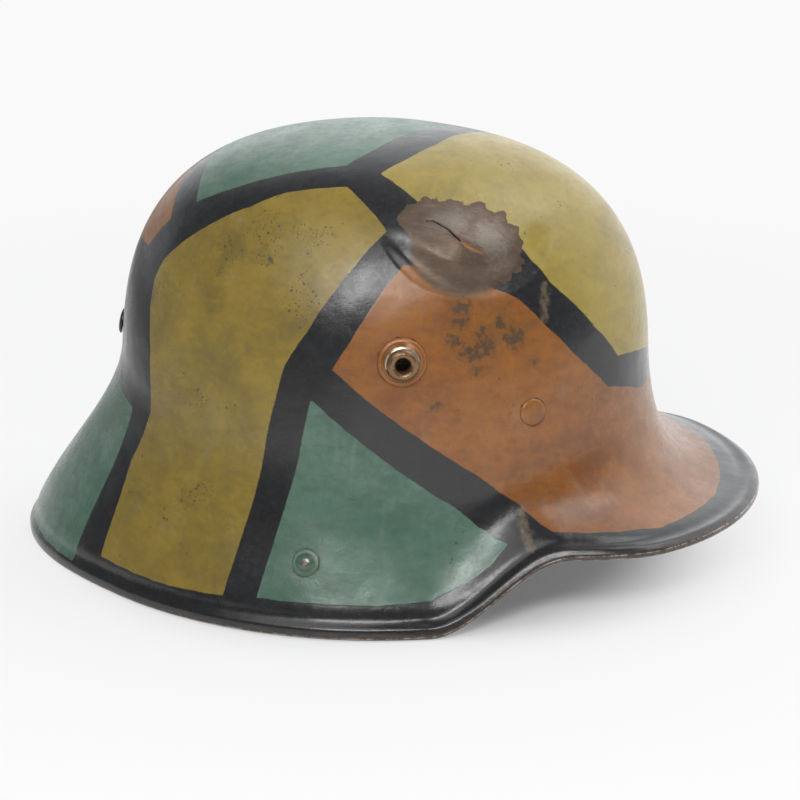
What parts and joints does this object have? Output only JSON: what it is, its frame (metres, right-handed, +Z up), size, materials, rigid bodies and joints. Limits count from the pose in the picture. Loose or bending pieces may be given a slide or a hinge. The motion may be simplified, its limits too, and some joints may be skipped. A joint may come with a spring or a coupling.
{
  "type": "steel helmet",
  "caption": "Steel helmet with a domed crown, stepped visor, flared skirt, side vent lugs, leather liner with cushioned pads, and a hinged buckled chinstrap.",
  "frame": {"origin": "centre of the helmet's box on the table that the skirt's rim stands on", "axes": "+Z up through the crown; -Y out through the visor; -X towards the wearer's right, the side that the picture shows"},
  "size_m": [0.2278, 0.3004, 0.169],
  "materials": {
    "shell_paint": "camouflage panels of ochre, rust brown and green between black bands, satin",
    "lug_steel": "worn, browned steel",
    "inner_steel": "dull grey steel",
    "rivet_paint": "painted over with the shell",
    "strap_rivet_paint": "painted green, rubbed bare on the dome",
    "liner_leather": "brown leather",
    "pad_leather": "tan leather, darkened by wear",
    "linen": "unbleached linen",
    "strap_leather": "dark brown leather",
    "buckle_steel": "dull steel",
    "buckle_brass": "tarnished brass"
  },
  "bodies": {
    "helmet": {"shell": "shell_paint", "vent_lug_left": "lug_steel", "vent_lug_right": "lug_steel", "vent_washer_left": "inner_steel", "vent_washer_right": "inner_steel", "liner_rivet_front_left": "rivet_paint", "liner_rivet_front_right": "rivet_paint", "liner_rivet_rear": "rivet_paint", "liner_washer_front_left": "inner_steel", "liner_washer_front_right": "inner_steel", "liner_washer_rear": "inner_steel", "liner_band": "liner_leather", "pad_front_left": "pad_leather", "pad_front_right": "pad_leather", "pad_rear": "pad_leather", "cushion_front_left": "linen", "cushion_front_right": "linen", "cushion_rear": "linen", "strap_lug_left": "inner_steel", "strap_lug_right": "inner_steel", "strap_rivet_left": "strap_rivet_paint", "strap_rivet_right": "strap_rivet_paint"},
    "chinstrap": {"strap_end_left": "buckle_steel", "strap_end_right": "buckle_steel", "end_rivet_left": "buckle_brass", "end_rivet_right": "buckle_brass", "strap_short": "strap_leather", "strap_long": "strap_leather", "strap_keeper": "strap_leather", "buckle_frame": "buckle_steel"},
    "roller": {"buckle_roller": "buckle_brass"},
    "tongue": {"buckle_tongue": "buckle_brass"}
  },
  "joints": [
    {"name": "chinstrap_swing", "type": "hinge", "parent": "helmet", "child": "chinstrap", "pos_m": [0, 0.01045, 0.02488], "axis": [-1, 0, 0], "range_deg": [-8, 165]},
    {"name": "roller_spin", "type": "hinge", "parent": "chinstrap", "child": "roller", "pos_m": [0.06387, 0.07284, 0.01625], "axis": [0, 0.137, 0.9906], "continuous": true},
    {"name": "tongue_lift", "type": "hinge", "parent": "chinstrap", "child": "tongue", "pos_m": [0.0719, 0.06148, 0.01782], "axis": [0, -0.137, -0.9906], "range_deg": [0, 12]}
  ]
}
